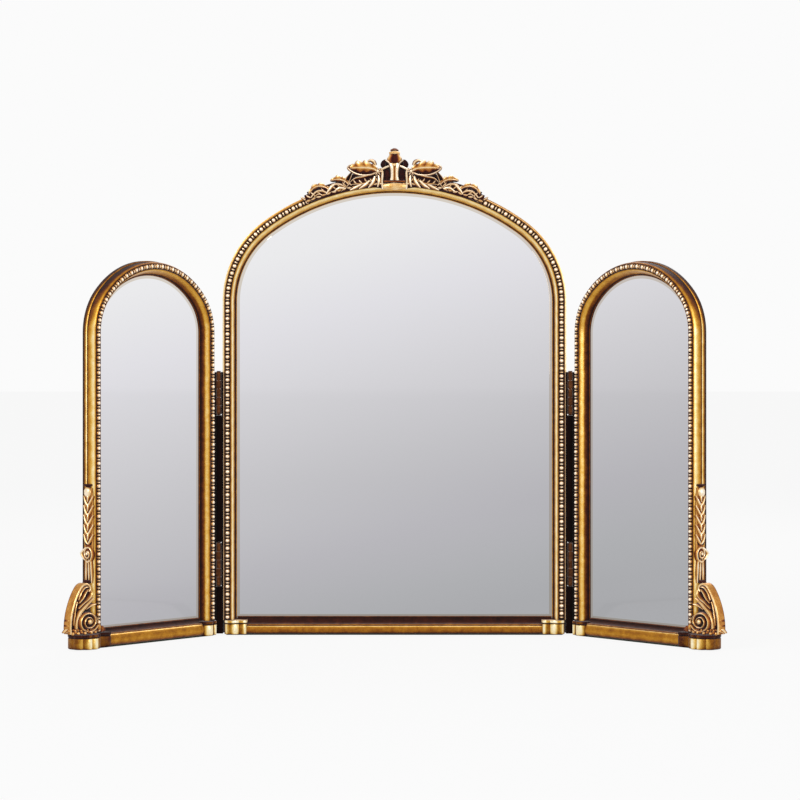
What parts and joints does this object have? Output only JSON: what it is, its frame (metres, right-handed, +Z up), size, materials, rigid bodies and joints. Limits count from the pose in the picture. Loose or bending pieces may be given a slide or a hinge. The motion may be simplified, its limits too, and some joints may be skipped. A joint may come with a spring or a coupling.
{
  "type": "trifold vanity mirror",
  "caption": "Folding tabletop vanity mirror: a wide arched centre panel with a carved gilt crest, flanked by lower arched wings hinged at its sides, all on moulded feet.",
  "frame": {"origin": "middle of the centre panel's foot, on the table surface under its felt", "axes": "+X across the centre panel towards the right wing, +Y towards the back, +Z up"},
  "size_m": [0.8546, 0.231, 0.658],
  "materials": {
    "antique_gilt": "cast resin, antique gold leaf rubbed back over dark umber",
    "gilt_beads": "cast resin beads, pale worn gilt",
    "mirror_glass": "silvered, with a shallow bevel",
    "dark_board": "dark brown stained board",
    "umber_wood": "near-black brown paint",
    "hinge_bronze": "dark bronzed brass",
    "screw_bronze": "dark bronzed",
    "felt": "thin green felt"
  },
  "bodies": {
    "centre_panel": {"centre_frame": "antique_gilt", "centre_bead_row": "gilt_beads", "centre_mirror": "mirror_glass", "centre_backboard": "dark_board", "centre_base_rail": "antique_gilt", "centre_left_block": "antique_gilt", "centre_right_block": "antique_gilt", "crest_crown": "antique_gilt", "crest_left_spray": "antique_gilt", "crest_right_spray": "antique_gilt", "centre_felt": "felt", "centre_back_screws": "screw_bronze", "left_hinge_strip": "umber_wood", "left_hinge_fixed_leaves": "hinge_bronze", "left_hinge_pins": "hinge_bronze", "left_hinge_fixed_screws": "screw_bronze", "right_hinge_strip": "umber_wood", "right_hinge_fixed_leaves": "hinge_bronze", "right_hinge_pins": "hinge_bronze", "right_hinge_fixed_screws": "screw_bronze"},
    "left_wing": {"left_wing_frame": "antique_gilt", "left_wing_bead_row": "gilt_beads", "left_wing_mirror": "mirror_glass", "left_wing_backboard": "dark_board", "left_wing_base_rail": "antique_gilt", "left_wing_inner_block": "antique_gilt", "left_wing_foot_block": "antique_gilt", "left_wing_foot_bracket": "antique_gilt", "left_wing_husk_drop": "antique_gilt", "left_wing_felt": "felt", "left_wing_back_screws": "screw_bronze", "left_wing_hinge_slip": "umber_wood", "left_hinge_moving_leaves": "hinge_bronze", "left_hinge_moving_screws": "screw_bronze"},
    "right_wing": {"right_wing_frame": "antique_gilt", "right_wing_bead_row": "gilt_beads", "right_wing_mirror": "mirror_glass", "right_wing_backboard": "dark_board", "right_wing_base_rail": "antique_gilt", "right_wing_inner_block": "antique_gilt", "right_wing_foot_block": "antique_gilt", "right_wing_foot_bracket": "antique_gilt", "right_wing_husk_drop": "antique_gilt", "right_wing_felt": "felt", "right_wing_back_screws": "screw_bronze", "right_wing_hinge_slip": "umber_wood", "right_hinge_moving_leaves": "hinge_bronze", "right_hinge_moving_screws": "screw_bronze"}
  },
  "joints": [
    {"name": "left_wing_hinge", "type": "hinge", "parent": "centre_panel", "child": "left_wing", "pos_m": [-0.2374, -0.0072, 0.211], "axis": [0, 0, 1], "range_deg": [-50, 55]},
    {"name": "right_wing_hinge", "type": "hinge", "parent": "centre_panel", "child": "right_wing", "pos_m": [0.2374, -0.0072, 0.211], "axis": [0, 0, -1], "range_deg": [-50, 55]}
  ]
}
